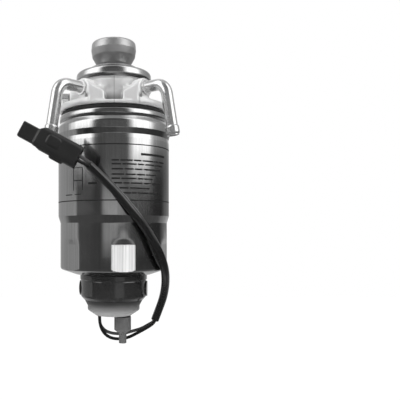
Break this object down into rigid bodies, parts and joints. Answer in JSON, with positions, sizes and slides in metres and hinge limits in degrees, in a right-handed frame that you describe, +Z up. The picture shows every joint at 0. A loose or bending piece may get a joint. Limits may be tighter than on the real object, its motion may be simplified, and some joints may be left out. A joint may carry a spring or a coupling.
{
  "type": "fuel filter assembly",
  "caption": "Diesel fuel filter assembly: cast head with bracket, bent hose tubes and a hand priming pump, spin-on steel canister, water sensor with drain tap, and a lead.",
  "frame": {"origin": "middle of the bracket's two bolt holes, on the bracket's underside", "axes": "+Z up along the filter, +X to the outlet tube's side, -Y towards the hose tubes and the front"},
  "size_m": [0.1202, 0.14, 0.2539],
  "materials": {
    "cast_aluminium": "satin, die cast",
    "polished_steel": "polished, fine turned streaks",
    "can_steel": "polished, bare, with vertical streaks on the body",
    "plated_steel": "zinc plated",
    "spring_steel": "plain",
    "pressed_steel": "plain pressed",
    "black_rubber": "matte",
    "guide_plastic": "matte",
    "valve_plastic": "matte",
    "sensor_black": "glossy moulded",
    "cap_grey": "satin moulded",
    "tap_grey": "satin moulded",
    "float_plastic": "matte",
    "filter_paper": "matte paper",
    "wire_black": "satin",
    "wire_grey": "satin",
    "sleeve_black": "satin",
    "housing_black": "satin moulded",
    "terminal_brass": "plain"
  },
  "bodies": {
    "head": {"base_ring": "pressed_steel", "black_tail": "wire_black", "black_wire": "wire_black", "can_shell": "can_steel", "can_top_plate": "pressed_steel", "centre_nipple": "plated_steel", "centre_tube": "pressed_steel", "connector_housing": "housing_black", "connector_terminals": "terminal_brass", "diaphragm": "black_rubber", "element_grommet": "black_rubber", "element_spring": "spring_steel", "filter_element": "filter_paper", "filter_head": "cast_aluminium", "float_clip": "guide_plastic", "grey_tail": "wire_grey", "grey_wire": "wire_grey", "inlet_tube": "plated_steel", "inlet_valve_cage": "valve_plastic", "inlet_valve_seat": "valve_plastic", "inlet_valve_spring": "spring_steel", "lead_sleeve": "sleeve_black", "lower_end_cap": "pressed_steel", "outlet_tube": "plated_steel", "outlet_valve_cage": "valve_plastic", "outlet_valve_seat": "valve_plastic", "outlet_valve_spring": "spring_steel", "pump_cover": "polished_steel", "return_spring": "spring_steel", "rod_guide": "guide_plastic", "sealing_gasket": "black_rubber", "seam_lid": "pressed_steel", "sensor_body": "sensor_black", "sensor_cap": "cap_grey", "sensor_seal": "black_rubber", "sensor_stem": "guide_plastic", "upper_end_cap": "pressed_steel", "wire_grommet": "black_rubber", "wire_seal": "black_rubber"},
    "button": {"push_button": "polished_steel", "button_screw": "plated_steel", "screw_washer": "plated_steel", "pump_rod": "plated_steel", "upper_plate": "pressed_steel", "lower_plate": "pressed_steel"},
    "inlet_disc": {"inlet_valve_disc": "black_rubber"},
    "outlet_disc": {"outlet_valve_disc": "black_rubber"},
    "float": {"sensor_float": "float_plastic"},
    "drain_lift": {"drain_seal": "black_rubber"},
    "drain": {"drain_tap": "tap_grey"},
    "vent_shift": {"air_plug_washer": "plated_steel"},
    "vent": {"air_plug": "plated_steel"}
  },
  "joints": [
    {"name": "button_press", "type": "slide", "parent": "head", "child": "button", "axis": [0, 0, -1], "range_m": [0, 0.007], "stiffness_N_per_m": 800, "springref_m": -0.008, "deforming": ["return_spring", "diaphragm"]},
    {"name": "inlet_valve_lift", "type": "slide", "parent": "head", "child": "inlet_disc", "axis": [0, 0, 1], "range_m": [0, 0.0012], "stiffness_N_per_m": 5, "springref_m": -0.001, "deforming": ["inlet_valve_spring"]},
    {"name": "outlet_valve_lift", "type": "slide", "parent": "head", "child": "outlet_disc", "axis": [0, 0, -1], "range_m": [0, 0.0012], "stiffness_N_per_m": 5, "springref_m": -0.001, "deforming": ["outlet_valve_spring"]},
    {"name": "float_rise", "type": "slide", "parent": "head", "child": "float", "axis": [0, 0, 1], "range_m": [0, 0.008]},
    {"name": "drain_slide", "type": "slide", "parent": "head", "child": "drain_lift", "axis": [0, 0, -1], "range_m": [0, 0.00301]},
    {"name": "drain_turn", "type": "hinge", "parent": "drain_lift", "child": "drain", "pos_m": [0.0076, -0.058, -0.1823], "axis": [0, 0, -1], "range_deg": [0, 720]},
    {"name": "vent_slide", "type": "slide", "parent": "head", "child": "vent_shift", "axis": [-1, 0, 0], "range_m": [0, 0.00251]},
    {"name": "vent_turn", "type": "hinge", "parent": "vent_shift", "child": "vent", "pos_m": [-0.042, -0.061, 0.005], "axis": [-1, 0, 0], "range_deg": [0, 720]}
  ],
  "couplings": [
    {"joint": "drain_slide", "follows": "drain_turn", "m_per_rad": 0.00023873},
    {"joint": "vent_slide", "follows": "vent_turn", "m_per_rad": 0.00019894}
  ]
}
